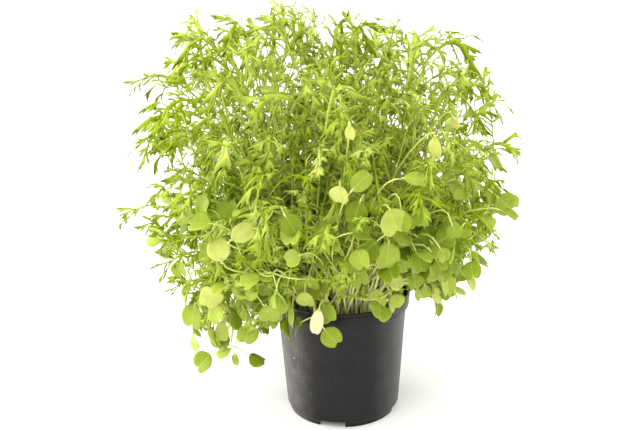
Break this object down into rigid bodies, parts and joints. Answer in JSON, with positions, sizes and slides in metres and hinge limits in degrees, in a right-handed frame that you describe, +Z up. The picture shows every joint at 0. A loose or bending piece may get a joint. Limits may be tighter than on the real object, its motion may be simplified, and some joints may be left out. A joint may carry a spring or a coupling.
{
  "type": "potted mustard greens",
  "caption": "Round ribless nursery pot full of soil, with a dense rounded clump of feathery-leaved mustard seedlings that lean out over the rim.",
  "frame": {"origin": "centre of the underside of the pot, on the surface that it stands on", "axes": "+Z up along the pot's axis, -Y towards the viewer of the picture, +X to the viewer's right"},
  "size_m": [0.3077, 0.2449, 0.3302],
  "materials": {
    "pot": "satin moulded plastic, lightly scuffed",
    "soil": "crumbly, moist",
    "greens": "soft fresh leaf"
  },
  "bodies": {
    "root": {"pot": "pot", "seedling_01": "greens", "seedling_02": "greens", "seedling_03": "greens", "seedling_04": "greens", "seedling_05": "greens", "seedling_06": "greens", "seedling_07": "greens", "seedling_08": "greens", "seedling_09": "greens", "seedling_10": "greens", "seedling_11": "greens", "seedling_12": "greens", "seedling_13": "greens", "seedling_14": "greens", "seedling_15": "greens", "seedling_16": "greens", "seedling_17": "greens", "seedling_18": "greens", "seedling_19": "greens", "seedling_20": "greens", "seedling_21": "greens", "seedling_22": "greens", "seedling_23": "greens", "seedling_24": "greens", "seedling_25": "greens", "seedling_26": "greens", "seedling_27": "greens", "seedling_28": "greens", "seedling_29": "greens", "seedling_30": "greens", "seedling_31": "greens", "seedling_32": "greens", "seedling_33": "greens", "seedling_34": "greens", "seedling_35": "greens", "seedling_36": "greens", "seedling_37": "greens", "seedling_38": "greens", "seedling_39": "greens", "seedling_40": "greens", "seedling_41": "greens", "seedling_42": "greens", "seedling_43": "greens", "seedling_44": "greens", "seedling_45": "greens", "seedling_46": "greens", "seedling_47": "greens", "seedling_48": "greens", "seedling_49": "greens", "seedling_50": "greens", "seedling_51": "greens", "seedling_52": "greens", "seedling_53": "greens", "seedling_54": "greens", "seedling_55": "greens", "seedling_56": "greens", "seedling_57": "greens", "soil": "soil"}
  },
  "joints": []
}
